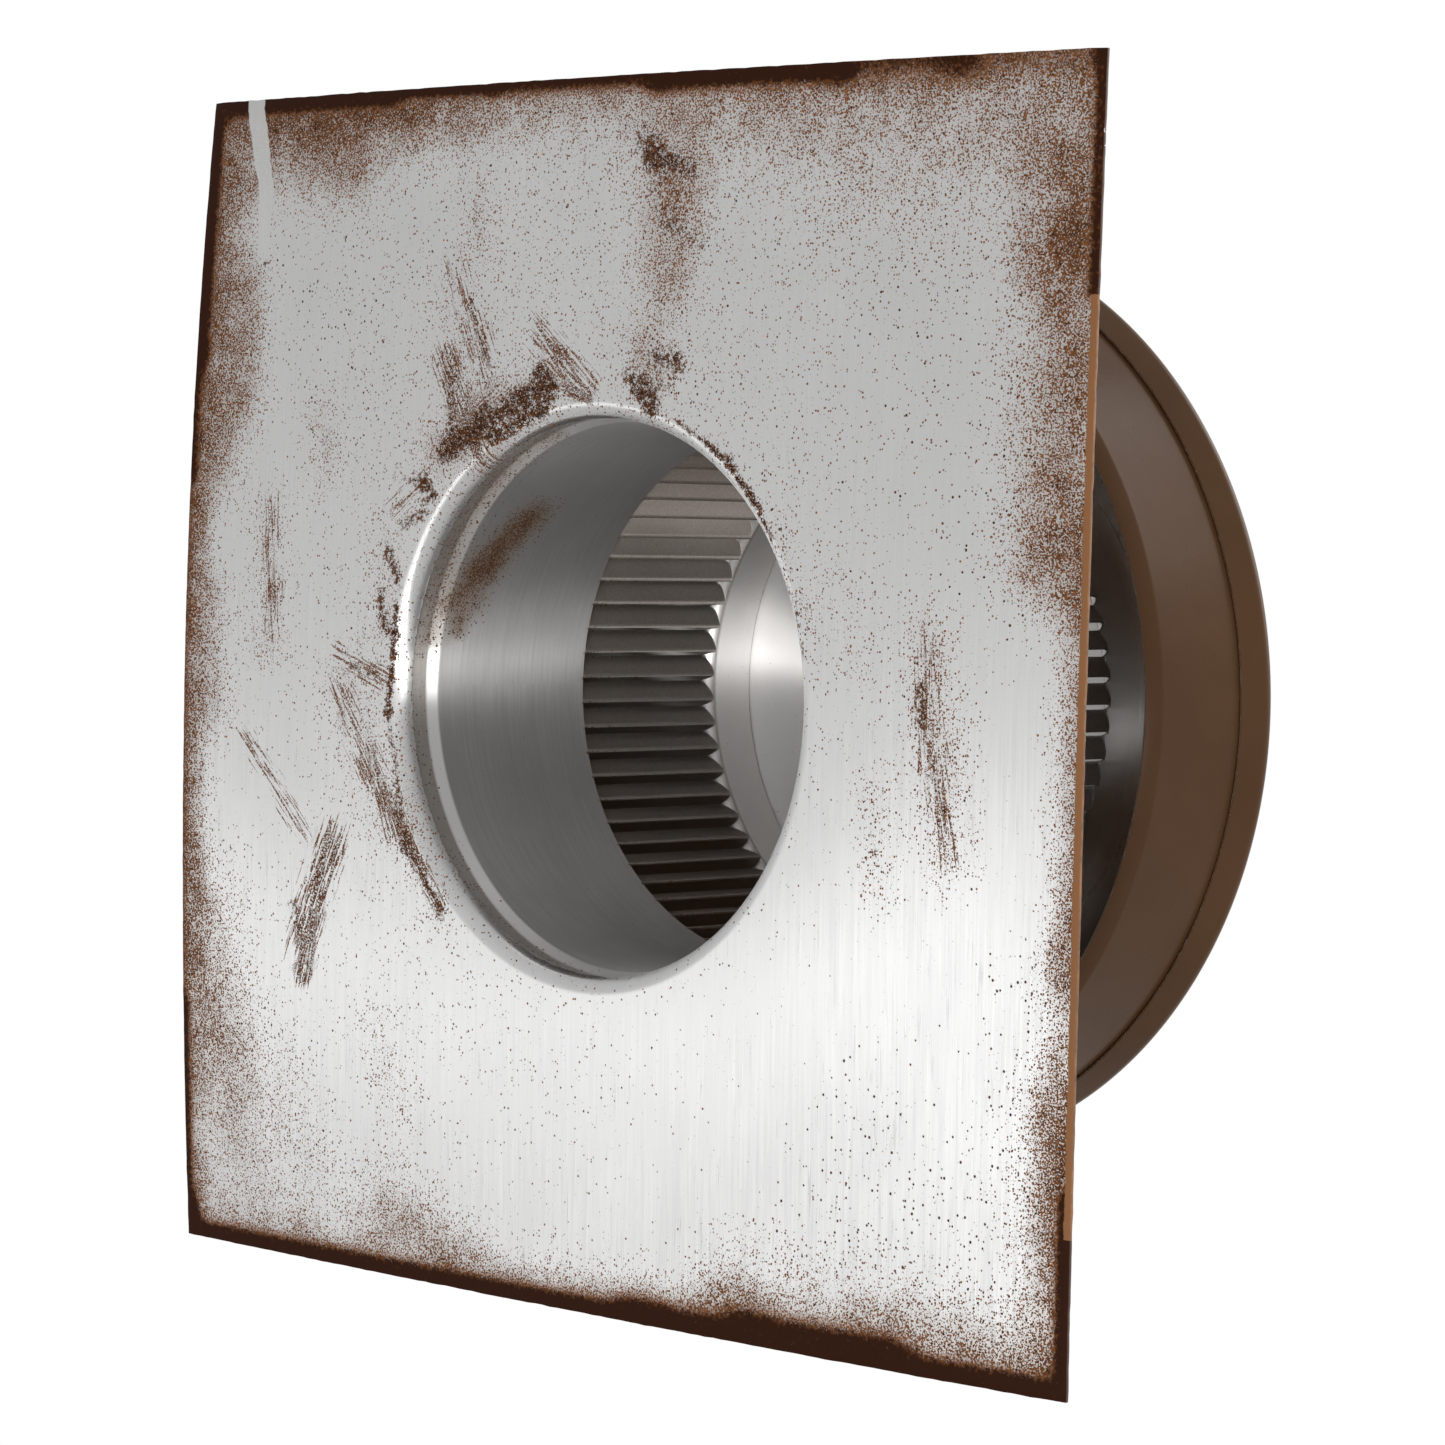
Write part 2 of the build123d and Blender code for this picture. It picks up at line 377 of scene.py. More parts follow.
class Finish:
    """The nodes of a material or a world, with short calls that add them and join them."""

    def __init__(self, owner):
        self.owner = owner
        owner.use_nodes = True
        self.tree = owner.node_tree
        self.tree.nodes.clear()
        self.place = self.node("TexCoord").outputs["Object"]

    def join(self, socket, value):
        """Sets a socket, or links it where the value is a socket of another node."""
        if isinstance(value, bpy.types.NodeSocket):
            self.tree.links.new(value, socket)
        else:
            socket.default_value = value

    def node(self, kind, sockets=None, **settings):
        made = self.tree.nodes.new("ShaderNode" + kind)
        for name, value in settings.items():
            setattr(made, name, value)
        for name, value in (sockets or {}).items():
            self.join(made.inputs[name], value)
        return made

    def math(self, operation, first, second=0.0, third=0.0, clamp=False):
        sockets = {0: first, 1: second, 2: third}
        return self.node("Math", sockets, operation=operation, use_clamp=clamp).outputs[0]

    def times(self, first, second, clamp=False):
        return self.math("MULTIPLY", first, second, clamp=clamp)

    def most(self, first, *others):
        """The largest of the values."""
        for other in others:
            first = self.math("MAXIMUM", first, other)
        return first

    def span(self, value, low, high, to_low=0.0, to_high=1.0):
        """Carries a value from one span to another and holds it inside the second."""
        sockets = {"Value": value, "From Min": low, "From Max": high}
        sockets.update({"To Min": to_low, "To Max": to_high})
        return self.node("MapRange", sockets).outputs[0]

    def parts(self, vector):
        """The three numbers of a vector."""
        return self.node("SeparateXYZ", {0: vector}).outputs

    def stretch(self, factors):
        sockets = {0: self.place, 1: factors}
        return self.node("VectorMath", sockets, operation="MULTIPLY").outputs[0]

    def from_axis(self):
        """Distance from the vent's axis."""
        flat = self.stretch((1, 1, 0))
        return self.node("VectorMath", {0: flat}, operation="LENGTH").outputs["Value"]

    def noise(self, scale, detail=3.0, roughness=0.5, place=None):
        sockets = {"Vector": place or self.place, "Scale": scale}
        sockets.update({"Detail": detail, "Roughness": roughness})
        return self.node("TexNoise", sockets).outputs["Fac"]

    def mix(self, amount, first, second):
        made = self.node("Mix", {0: amount, 6: first, 7: second}, data_type="RGBA")
        return made.outputs[2]

    def attribute(self, name, socket="Fac"):
        return self.node("Attribute", attribute_name=name).outputs[socket]

    def specks(self, cover, scale, smallest, largest, sharpness=14):
        """Round specks, one to a cell, in a share of the cells that grows with the cover."""
        cells = self.node("TexVoronoi", {"Vector": self.place, "Scale": scale})
        chance = self.node("SeparateColor", {0: cells.outputs["Color"]})
        radius = self.span(chance.outputs[1], 0, 1, smallest, largest)
        inside = self.math("SUBTRACT", radius, cells.outputs["Distance"])
        shown = self.math("LESS_THAN", chance.outputs[0], cover)
        return self.times(self.times(inside, sharpness, clamp=True), shown)

    def stippled(self, mist, fine):
        """The mist's own stipple: grains that run together where it lies thick, and specks."""
        grains = self.span(self.math("MULTIPLY_ADD", mist, 0.36, fine), low=0.775, high=0.81)
        return self.most(grains, self.specks(self.times(mist, 1.3), 1400, 0.22, 0.52))

    def dropped(self):
        """Larger drops, in two sizes of cell."""
        fallen = self.attribute("drops")
        large = self.specks(fallen, 400, 0.07, 0.21)
        return self.most(large, self.specks(self.times(fallen, 0.8), 650, 0.10, 0.30))

    def blotted(self, dabs, fine):
        """Broken patches of wet paint."""
        lumps = self.noise(scale=560, detail=5, roughness=0.85)
        lumps = self.math("MULTIPLY_ADD", dabs, 0.42, lumps)
        return self.times(self.span(lumps, 0.83, 0.88), self.span(fine, 0.30, 0.37))

    def dragged(self, smear, fine):
        """Thin broken lines of paint along a smear's own direction."""
        spot = self.parts(self.place)
        along = self.math("MULTIPLY_ADD", spot[1], smear[1], self.times(spot[0], smear[0]))
        across = self.times(spot[0], smear[1])
        across = self.math("SUBTRACT", across, self.times(spot[1], smear[0]))
        trail = self.node("CombineXYZ", {0: self.times(along, 0.6), 1: self.times(across, 9)})
        lines = self.noise(scale=130, detail=3, roughness=0.6, place=trail.outputs[0])
        lines = self.span(self.math("MULTIPLY_ADD", smear[2], 0.42, lines), 0.84, 0.88)
        return self.times(lines, self.span(fine, 0.38, 0.50, 0.1, 1.0))

    def drifted_paint(self):
        """Where brown paint lies on bare metal, how thick it is, and the mist round about it."""
        patchy = self.span(self.noise(scale=95, detail=4, roughness=0.6), 0.3, 0.7, 0.78, 1.22)
        mist = self.times(self.attribute("mist"), patchy)
        fine = self.noise(scale=1900, detail=1)
        specks = self.specks(mist, 900, 0.13, 0.36)
        drops = self.dropped()
        dabs = self.attribute("blots")
        smear = self.parts(self.attribute("smears", "Vector"))
        rim = self.attribute("rim")
        soaked = self.span(self.math("MULTIPLY_ADD", fine, 0.9, rim), low=0.62, high=1.15)
        paint = self.most(
            self.stippled(mist, fine), specks, drops,
            self.blotted(dabs, fine), self.dragged(smear, fine), soaked,
        )
        thick = self.most(
            self.times(mist, 0.75), dabs, drops, self.times(specks, 0.7),
            self.times(smear[2], 0.8), self.math("MULTIPLY_ADD", rim, 1.9, -0.5),
        )
        return paint, thick, mist

    def surface(self, colour, metallic, roughness, height=None, depth=0.0, **others):
        sockets = {"Base Color": colour, "Metallic": metallic, "Roughness": roughness}
        if height is not None:
            bump = self.node("Bump", {"Height": height, "Distance": depth, "Strength": 1.0})
            sockets["Normal"] = bump.outputs[0]
        shader = self.node("BsdfPrincipled", sockets)
        for name, value in others.items():
            self.join(shader.inputs[name.replace("_", " ")], value)
        self.node("OutputMaterial", {0: shader.outputs[0]})
        return self.owner


MILL_DARK = (0.805, 0.81, 0.81, 1)
MILL_LIGHT = (0.90, 0.90, 0.89, 1)
MILL_CLOUD = (0.78, 0.775, 0.77, 1)
MILL_GRAIN = (2600, 26, 400)
MILL_SCRATCHES = (900, 60, 100)
THICK_PAINT = (0.033, 0.0105, 0.0045, 1)
THIN_PAINT = (0.23, 0.088, 0.029, 1)
PAINT_MIST = (0.155, 0.080, 0.040, 1)
BEAD_PAINT = (0.27, 0.125, 0.055, 1)
BEAD_INSIDE = 167.6 * MM
BEAD_SOFT = 0.3 * MM
BEAD_RAGGED = 1.6 * MM
BEAD_FIRST = -108 * MM
BEAD_LAST = 128 * MM
EDGE_PAINT = (0.060, 0.024, 0.011, 1)
EDGE_BEAD = (0.33, 0.15, 0.060, 1)
EDGE_METAL = (0.62, 0.60, 0.58, 1)
BROWN_DARK = (0.077, 0.036, 0.0150, 1)
BROWN_LIGHT = (0.098, 0.048, 0.0215, 1)


def beaded(finish, down):
    """Where a bead of paint hangs on the sheet's edge: along the middle of its length."""
    after = finish.math("GREATER_THAN", down, BEAD_FIRST)
    return finish.times(after, finish.math("LESS_THAN", down, BEAD_LAST))


def wiped(finish):
    """The clean trail of a fingertip through the wet spray in one corner, in millimetres."""
    spot = finish.parts(finish.place)
    down = finish.math("DIVIDE", spot[1], MM)
    across = finish.math("DIVIDE", spot[0], MM)
    middle = finish.span(down, low=-166, high=-142, to_low=-149, to_high=-141.5)
    half = finish.span(down, low=-160, high=-124, to_low=4.2, to_high=2.6)
    off = finish.math("ABSOLUTE", finish.math("SUBTRACT", across, middle))
    off = finish.math("MULTIPLY_ADD", finish.noise(scale=260), 1.6, off)
    inside = finish.span(finish.math("SUBTRACT", half, off), -0.9, -0.5)
    above = finish.span(down, low=-124, high=-121, to_low=1, to_high=0)
    return finish.times(inside, above)


def bare_sheet():
    """Mill-finish aluminium with a fine grain down the sheet, and the drifted brown paint."""
    finish = Finish(bpy.data.materials.new("bare_sheet"))
    grain = finish.noise(1, detail=4, roughness=0.65, place=finish.stretch(MILL_GRAIN))
    scratches = finish.noise(1, detail=2, place=finish.stretch(MILL_SCRATCHES))
    clouds = finish.noise(scale=11, detail=4, roughness=0.6)
    metal = finish.mix(finish.span(grain, 0.3, 0.7), MILL_DARK, MILL_LIGHT)
    metal = finish.mix(finish.span(clouds, 0.35, 0.65, 0.0, 0.5), metal, MILL_CLOUD)
    paint, thick, mist = finish.drifted_paint()
    clean = finish.math("SUBTRACT", 1.0, finish.times(wiped(finish), 0.92))
    paint = finish.times(paint, clean)
    film = finish.times(finish.span(mist, 0.35, 1.1, 0.0, 0.6), clean)
    depth = finish.math("MULTIPLY_ADD", finish.noise(scale=850), 1.6, thick)
    brown = finish.mix(finish.span(depth, 1.15, 1.95), THIN_PAINT, THICK_PAINT)
    spot = finish.parts(finish.place)
    ragged = finish.noise(scale=230, detail=4, roughness=0.6)
    ragged = finish.math("MULTIPLY_ADD", ragged, BEAD_RAGGED, spot[0])
    bead = finish.span(ragged, BEAD_INSIDE, BEAD_INSIDE + BEAD_SOFT)
    bead = finish.times(bead, beaded(finish, spot[1]))
    brown = finish.mix(bead, brown, BEAD_PAINT)
    paint = finish.most(paint, bead)
    colour = finish.mix(paint, finish.mix(film, metal, PAINT_MIST), brown)
    metallic = finish.math("SUBTRACT", 1.0, finish.most(paint, finish.times(film, 0.7)))
    rough = finish.span(grain, 0.2, 0.8, 0.27, 0.35)
    rough = finish.math("ADD", rough, finish.span(clouds, 0.3, 0.7, -0.03, 0.04))
    rough = finish.math("SUBTRACT", rough, finish.span(scratches, 0.62, 0.75, 0.0, 0.06))
    height = finish.math("MULTIPLY_ADD", grain, 0.10, paint)
    tangent = finish.node("Tangent", direction_type="UV_MAP", uv_map="across").outputs[0]
    return finish.surface(
        colour, metallic, rough, height, 0.025 * MM,
        Anisotropic=1.0, Tangent=tangent, Specular_IOR_Level=0.04,
    )


def painted_edge():
    """Sheared edge of the sheet, brown with a hanging bead of paint, and bare at the neck."""
    finish = Finish(bpy.data.materials.new("painted_edge"))
    bead = finish.noise(scale=240, detail=4, roughness=0.65)
    along = beaded(finish, finish.parts(finish.place)[1])
    hung = finish.times(finish.span(bead, 0.35, 0.65, 0.35, 1.0), along)
    colour = finish.mix(hung, EDGE_PAINT, EDGE_BEAD)
    chips = finish.span(finish.noise(scale=110, detail=4, roughness=0.7), 0.66, 0.69)
    at_neck = finish.math("LESS_THAN", finish.from_axis(), 1.2 * NECK_RADIUS)
    bare = finish.most(chips, at_neck)
    colour = finish.mix(bare, colour, EDGE_METAL)
    return finish.surface(colour, bare, 0.42, bead, 0.05 * MM)


def brown_paint():
    """Semi-gloss brown paint, a little uneven, with a soft skin over the sheet."""
    finish = Finish(bpy.data.materials.new("brown_paint"))
    clouds = finish.noise(scale=16, detail=4, roughness=0.6)
    skin = finish.noise(scale=650)
    colour = finish.mix(finish.span(clouds, 0.3, 0.7), BROWN_DARK, BROWN_LIGHT)
    rough = finish.span(finish.noise(scale=90, detail=4, roughness=0.6), 0.3, 0.7, 0.25, 0.34)
    return finish.surface(colour, 0.0, rough, skin, 0.02 * MM, Specular_IOR_Level=0.10)


paint_finish = brown_paint()
for finish in (bare_sheet(), paint_finish, painted_edge()):
    flashing.data.materials.append(finish)
thicken(flashing, FLASHING_SHEET, side=-1, back=1, rim=2)
ease_edges(flashing)
across_map = flashing.data.uv_layers.new(name="across")
for loop in flashing.data.loops:
    across_map.data[loop.index].uv = flashing.data.vertices[loop.vertex_index].co.xy
bpy.ops.object.shade_smooth_by_angle(angle=SMOOTH_UNDER)
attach(flashing, "root")
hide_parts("flashing")
bpy.ops.object.select_all(action="DESELECT")

# The vent tube is one rolled aluminium sheet. Its foot is belled over the flashing's neck and
# flanged onto the flashing, and its head is flanged under the cap. Blades are lanced out of its
# wall all the way round: each keeps a narrow land of plain wall and ends in a raw free edge.
TUBE_LOW, TUBE_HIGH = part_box("louvred_tube")
TUBE_SHEET = 0.6 * MM
TUBE_RADIUS = 75.6 * MM
BELL_RADIUS = 77.5 * MM
BELL_TOP = 11.4 * MM
SHOULDER = 3.2 * MM
SHOULDER_BEND = 1.4 * MM
SHOULDER_HEIGHT = 13.1 * MM
FOOT_BEND = 3.4 * MM
HEAD_FLANGE = 6.6 * MM
HEAD_HEIGHT = 146.2 * MM
HEAD_SLOPE = 1.3 * MM
HEAD_BEND = 0.9 * MM
WALL_RINGS = 10
RING_GAP = 1 * MM
LOUVRES = 64
BLADE_STEPS = 10
ARCH_STEPS = 9
FIRST_LOUVRE = math.radians(1.1)
LOUVRE_LOW = 73.3 * MM
LOUVRE_HIGH = 129.9 * MM
LIFT = 3.4 * MM
SLOT = 1.5 * MM
LOWER_RAMP = 3.0 * MM
UPPER_RAMP = 3.2 * MM
ROW_OVER_FOOT = 12 * MM
ROW_UNDER_HEAD = 8 * MM


def draw_piece(name, profile, spokes, turned=0.0):
    """A new piece in edit mode: a ring of edges, drawn on through the points of a profile."""
    radius, height = profile[0]
    bpy.ops.mesh.primitive_circle_add(
        vertices=spokes, radius=radius, location=(0, 0, height), rotation=(0, 0, turned)
    )
    piece = bpy.context.object
    piece.name = name
    bpy.ops.object.transform_apply(location=True, rotation=True)
    bpy.ops.object.mode_set(mode="EDIT")
    bpy.ops.mesh.select_mode(type="EDGE")
    bpy.ops.mesh.select_all(action="SELECT")
    draw_rings(profile)
    return piece


foot_profile = rounded(
    [
        (TUBE_HIGH.x, TUBE_LOW.z),
        (BELL_RADIUS, TUBE_LOW.z),
        (BELL_RADIUS, BELL_TOP),
        (TUBE_RADIUS, BELL_TOP + SHOULDER),
        (TUBE_RADIUS, LOUVRE_LOW),
    ],
    [FOOT_BEND, SHOULDER_BEND, SHOULDER_BEND],
)
wall_low = foot_profile[-2][1]
wall_high = LOUVRE_LOW - RING_GAP
for step in range(WALL_RINGS):
    height = wall_high - (wall_high - wall_low) * step / WALL_RINGS
    foot_profile.insert(-1 - step, (TUBE_RADIUS, height))
head_profile = rounded(
    [
        (TUBE_RADIUS, LOUVRE_HIGH),
        (TUBE_RADIUS, HEAD_HEIGHT),
        (TUBE_RADIUS + HEAD_FLANGE, HEAD_HEIGHT - HEAD_SLOPE),
    ],
    [HEAD_BEND],
)
head_profile.insert(1, (TUBE_RADIUS, LOUVRE_HIGH + RING_GAP))
tube = draw_piece("dressed_tube", foot_profile, LOUVRES * BLADE_STEPS, FIRST_LOUVRE)
bpy.ops.object.mode_set(mode="OBJECT")
bpy.ops.object.select_all(action="DESELECT")
head = draw_piece("tube_head", head_profile, LOUVRES * BLADE_STEPS, FIRST_LOUVRE)
bpy.ops.object.mode_set(mode="OBJECT")
bpy.ops.object.select_all(action="DESELECT")


def arched(share):
    """Rise of a rounded end from 0 to 1."""
    return np.sqrt(1 - (1 - np.clip(share, 0, 1)) ** 2)


# Rows of points up each blade: close together on its two rounded ramps, far apart between them
arch_steps = [1 - math.sqrt(1 - (step / ARCH_STEPS) ** 2) for step in range(ARCH_STEPS + 1)]
blade_rows = [LOUVRE_LOW + LOWER_RAMP * share for share in arch_steps]
blade_rows += [LOUVRE_LOW + ROW_OVER_FOOT, (LOUVRE_LOW + LOUVRE_HIGH) / 2]
blade_rows += [LOUVRE_HIGH - ROW_UNDER_HEAD]
blade_rows += [LOUVRE_HIGH - UPPER_RAMP * share for share in reversed(arch_steps)]
last_row = len(blade_rows) - 1
bpy.ops.mesh.primitive_grid_add(x_subdivisions=BLADE_STEPS, y_subdivisions=last_row, size=1)
blades = bpy.context.object
pitch = 2 * math.pi / LOUVRES
land = 1 / BLADE_STEPS
for vertex in blades.data.vertices:
    along = round((vertex.co.x + 0.5) * BLADE_STEPS) / BLADE_STEPS
    height = blade_rows[round((vertex.co.y + 0.5) * last_row)]
    slope = max(along - land, 0) / (1 - land)
    ramp = arched(min((height - LOUVRE_LOW) / LOWER_RAMP, (LOUVRE_HIGH - height) / UPPER_RAMP))
    radius = TUBE_RADIUS + LIFT * min(slope, ramp)
    angle = FIRST_LOUVRE + along * pitch - slope * ramp * SLOT / TUBE_RADIUS
    vertex.co = (radius * math.cos(angle), radius * math.sin(angle), height)
bpy.ops.object.mode_set(mode="EDIT")
bpy.ops.mesh.select_all(action="SELECT")
bpy.ops.mesh.quads_convert_to_tris(quad_method="SHORTEST_DIAGONAL")
bpy.ops.mesh.spin(steps=LOUVRES, dupli=True, angle=2 * math.pi, center=(0, 0, 0), axis=(0, 0, 1))
bpy.ops.object.mode_set(mode="OBJECT")
head.select_set(True)
tube.select_set(True)
bpy.context.view_layer.objects.active = tube
bpy.ops.object.join()
bpy.ops.object.mode_set(mode="EDIT")
seam_and_face(tube, upwards=True)

SHOULDER_HIGHLIGHT_FULL = 1.1 * MM
SHOULDER_HIGHLIGHT_GONE = 1.9 * MM
COLLAR_HIGHLIGHT_LOW = 129 * MM
COLLAR_HIGHLIGHT_FULL = 131 * MM
CAP_SHADE_START = 82 * MM
CAP_SHADE_FULL = 92 * MM
TUBE_GRAIN = (3, 1300, 1300)
TUBE_DARK = (0.46, 0.455, 0.45, 1)
TUBE_LIGHT = (0.58, 0.575, 0.565, 1)
TUBE_CLOUD = (0.44, 0.43, 0.415, 1)
TUBE_PAINTED_HIGHLIGHT = (0.90, 0.885, 0.865, 1)
CAP_PAINTED_SHADE = (0.42, 0.41, 0.39, 1)
TUBE_FILM = (0.25, 0.165, 0.105, 1)
TUBE_THIN_PAINT = (0.17, 0.078, 0.036, 1)
TUBE_THICK_PAINT = (0.07, 0.029, 0.013, 1)


def rolled_sheet(name, dull=0.0):
    """Brushed aluminium, its grain running round the axis, with some drifted paint, painted
    highlights on its shoulder, ramp facets and above the louvres, and painted shade under the cap
    beyond the tube.
    """
    finish = Finish(bpy.data.materials.new(name))
    x, y, z = finish.parts(finish.place)
    around = finish.math("ARCTAN2", y, x)
    radius = finish.from_axis()
    round_about = finish.node("CombineXYZ", {
        index: finish.times(measure, TUBE_GRAIN[index])
        for index, measure in enumerate((around, radius, z))
    })
    grain = finish.noise(1, detail=4, roughness=0.7, place=round_about.outputs[0])
    clouds = finish.noise(scale=28, roughness=0.6)
    metal = finish.mix(finish.span(grain, 0.3, 0.7), TUBE_DARK, TUBE_LIGHT)
    metal = finish.mix(finish.span(clouds, 0.35, 0.65, 0.0, 0.45), metal, TUBE_CLOUD)
    # Painted highlight: the shoulder band and the marked ramp facets are mixed towards a light
    # metal colour; their lower roughness stands for real polish.
    from_shoulder = finish.math("ABSOLUTE", finish.math("SUBTRACT", z, SHOULDER_HEIGHT))
    polish_and_painted_highlight = finish.span(from_shoulder, SHOULDER_HIGHLIGHT_FULL, SHOULDER_HIGHLIGHT_GONE, 0.85, 0)
    polish_and_painted_highlight = finish.most(polish_and_painted_highlight, finish.attribute("ramp_polish_and_highlight"))
    # Painted highlight: above the louvres the upper wall, the head flange and the cap's underside
    # are mixed towards the light metal colour.
    painted_collar_highlight = finish.span(z, COLLAR_HIGHLIGHT_LOW, COLLAR_HIGHLIGHT_FULL)
    metal = finish.mix(finish.most(polish_and_painted_highlight, painted_collar_highlight), metal, TUBE_PAINTED_HIGHLIGHT)
    # Painted shade: under the cap, beyond the tube's flange, the metal is mixed towards a darker
    # grey.
    metal = finish.mix(finish.span(radius, CAP_SHADE_START, CAP_SHADE_FULL), metal, CAP_PAINTED_SHADE)
    paint, thick, mist = finish.drifted_paint()
    film = finish.most(finish.span(mist, 0.05, 0.7, 0.0, 0.95), finish.attribute("tint"))
    dust = finish.noise(scale=1500, detail=2)
    film = finish.times(film, finish.span(dust, 0.35, 0.65, 0.7, 1.0))
    metal = finish.mix(film, metal, TUBE_FILM)
    depth = finish.math("MULTIPLY_ADD", finish.noise(scale=700, detail=2), 0.9, thick)
    brown = finish.mix(finish.span(depth, 0.4, 1.4), TUBE_THIN_PAINT, TUBE_THICK_PAINT)
    colour = finish.mix(paint, metal, brown)
    metallic = finish.math("SUBTRACT", 1.0, finish.most(paint, finish.times(film, 0.45)))
    rough = finish.span(grain, 0.2, 0.8, 0.42 + dull, 0.50 + dull)
    rough = finish.math("MULTIPLY_ADD", polish_and_painted_highlight, -0.14, rough)
    height = finish.math("MULTIPLY_ADD", grain, 0.2, paint)
    tangent = finish.node("Tangent", direction_type="RADIAL", axis="Z").outputs[0]
    return finish.surface(
        colour, metallic, rough, height, 0.02 * MM,
        Anisotropic=1.0, Anisotropic_Rotation=0.25, Tangent=tangent, Specular_IOR_Level=0.2,
    )


for finish in (rolled_sheet("tube_outside", dull=0.05), rolled_sheet("tube_inside")):
    tube.data.materials.append(finish)
thicken(tube, TUBE_SHEET, side=1, back=1, rim=0)

# Mist and blots inside the tube, in millimetres round it and up it; the brown coat low on its
# outside; the thin brown film on the louvres, deepest towards the side that caught the spray
TUBE_ROUND = 475
TUBE_MIST = [
    (272, 24, 290, 33, 12, 0.85),
    (262, 17, 274, 25, 8, 0.70),
    (254, 20, 262, 25, 6, 0.55),
    (0, 7, TUBE_ROUND, 7, 6, 0.35),
    (250, 12, 330, 12, 5, 0.4),
]
TUBE_BLOTS = [
    (272, 24, 286, 31, 6, 0.42),
    (258, 22, 266, 26, 4, 0.40),
    (230, 6, 330, 7, 4, 0.7),
]
COAT_MOST = 1.6
COAT_FULL = 52
COAT_GONE = 92
TINT_FOOT = 0.35
TINT_PLAIN = 0.5
TINT_MOST = 0.36
TINT_TOWARDS = math.radians(278)
TINT_SPREAD = math.radians(80)
TINT_UNDER_RAMP_HIGHLIGHT = 0.2
RAMP_HIGHLIGHT_NEAR = 0.1
RAMP_ENDS = 0.001
corners = np.array([vertex.co for vertex in tube.data.vertices]) / MM
turn = np.mod(np.arctan2(corners[:, 1], corners[:, 0]), 2 * math.pi)
up = corners[:, 2]
outside_faces = [face for face in tube.data.polygons if face.material_index == 0]
outside = sorted({corner for face in outside_faces for corner in face.vertices})
spots = np.column_stack([turn * TUBE_RADIUS / MM, up])
mist = sprayed(TUBE_MIST, spots)
mist[outside] = COAT_MOST * swell((COAT_GONE - up[outside]) / (COAT_GONE - COAT_FULL))
tint = TINT_PLAIN + TINT_MOST * swell(1 - np.abs(turn - TINT_TOWARDS) / TINT_SPREAD)
tint[(up <= LOUVRE_LOW / MM) | (up >= LOUVRE_HIGH / MM)] = 0
tint[up < BELL_TOP / MM] = TINT_FOOT
# Painted highlight on the upper ramp facets of the blades: they are marked, their brown tint is
# cut, and the finish paints them light and a little less rough.
rise = (LOUVRE_HIGH - up * MM) / UPPER_RAMP
ramp_radius = (TUBE_RADIUS + LIFT * arched(rise)) / MM
off_ramp = np.abs(np.hypot(corners[:, 0], corners[:, 1]) - ramp_radius)
ramp_polish_and_highlight = (off_ramp < RAMP_HIGHLIGHT_NEAR) & (rise > RAMP_ENDS) & (rise < 1 - RAMP_ENDS)
tint[ramp_polish_and_highlight] *= TINT_UNDER_RAMP_HIGHLIGHT
keep(tube, "mist", mist)
keep(tube, "blots", sprayed(TUBE_BLOTS, spots))
keep(tube, "tint", tint)
keep(tube, "ramp_polish_and_highlight", ramp_polish_and_highlight.astype(float))
bpy.ops.object.shade_smooth_by_angle(angle=SMOOTH_UNDER)
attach(tube, "root")
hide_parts("louvred_tube")
bpy.ops.object.select_all(action="DESELECT")

# The wind band is a ring of painted aluminium sheet that keeps rain off the louvres. Its top
# flange is trapped in the cap's turned rim, and its lower lip is turned in to stiffen it.
BAND_LOW, BAND_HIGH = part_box("wind_band")
BAND_SHEET = 0.7 * MM
BAND_SLOPE = math.tan(math.radians(4.5))
BAND_FLANGE = 2.0 * MM
FLANGE_BEND = 0.8 * MM
LIP_HEIGHT = 5.17 * MM
LIP_SLOPE = math.tan(math.radians(20))
LIP_BEND = 4.0 * MM
BAND_SEGMENTS = 320

under_flange = BAND_HIGH.z - BAND_SHEET
wall_top = BAND_HIGH.x - BAND_FLANGE - BAND_SHEET * BAND_SLOPE
knee_height = BAND_LOW.z + LIP_HEIGHT
knee_radius = wall_top - (under_flange - knee_height) * BAND_SLOPE
band_profile = rounded(
    [
        (BAND_HIGH.x, under_flange),
        (wall_top, under_flange),
        (knee_radius, knee_height),
        (knee_radius - LIP_HEIGHT * LIP_SLOPE, BAND_LOW.z),
    ],
    [FLANGE_BEND, LIP_BEND],
)
band = draw_piece("dressed_band", band_profile, BAND_SEGMENTS)
seam_and_face(band, upwards=False)

CUT_METAL = (0.86, 0.82, 0.77, 1)
CUT_PAINT = (0.14, 0.085, 0.055, 1)


def raw_edge():
    """Sheared aluminium edge that the paint barely reached."""
    finish = Finish(bpy.data.materials.new("raw_edge"))
    chips = finish.span(finish.noise(scale=300, detail=4, roughness=0.7), 0.56, 0.66)
    colour = finish.mix(chips, CUT_METAL, CUT_PAINT)
    return finish.surface(colour, finish.math("SUBTRACT", 1.0, chips), 0.34)


edge_finish = raw_edge()
for finish in (paint_finish, edge_finish):
    band.data.materials.append(finish)
thicken(band, BAND_SHEET, side=-1, back=0, rim=1)
ease_edges(band)
bpy.ops.object.shade_smooth_by_angle(angle=SMOOTH_UNDER)
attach(band, "root")
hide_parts("wind_band")
bpy.ops.object.select_all(action="DESELECT")

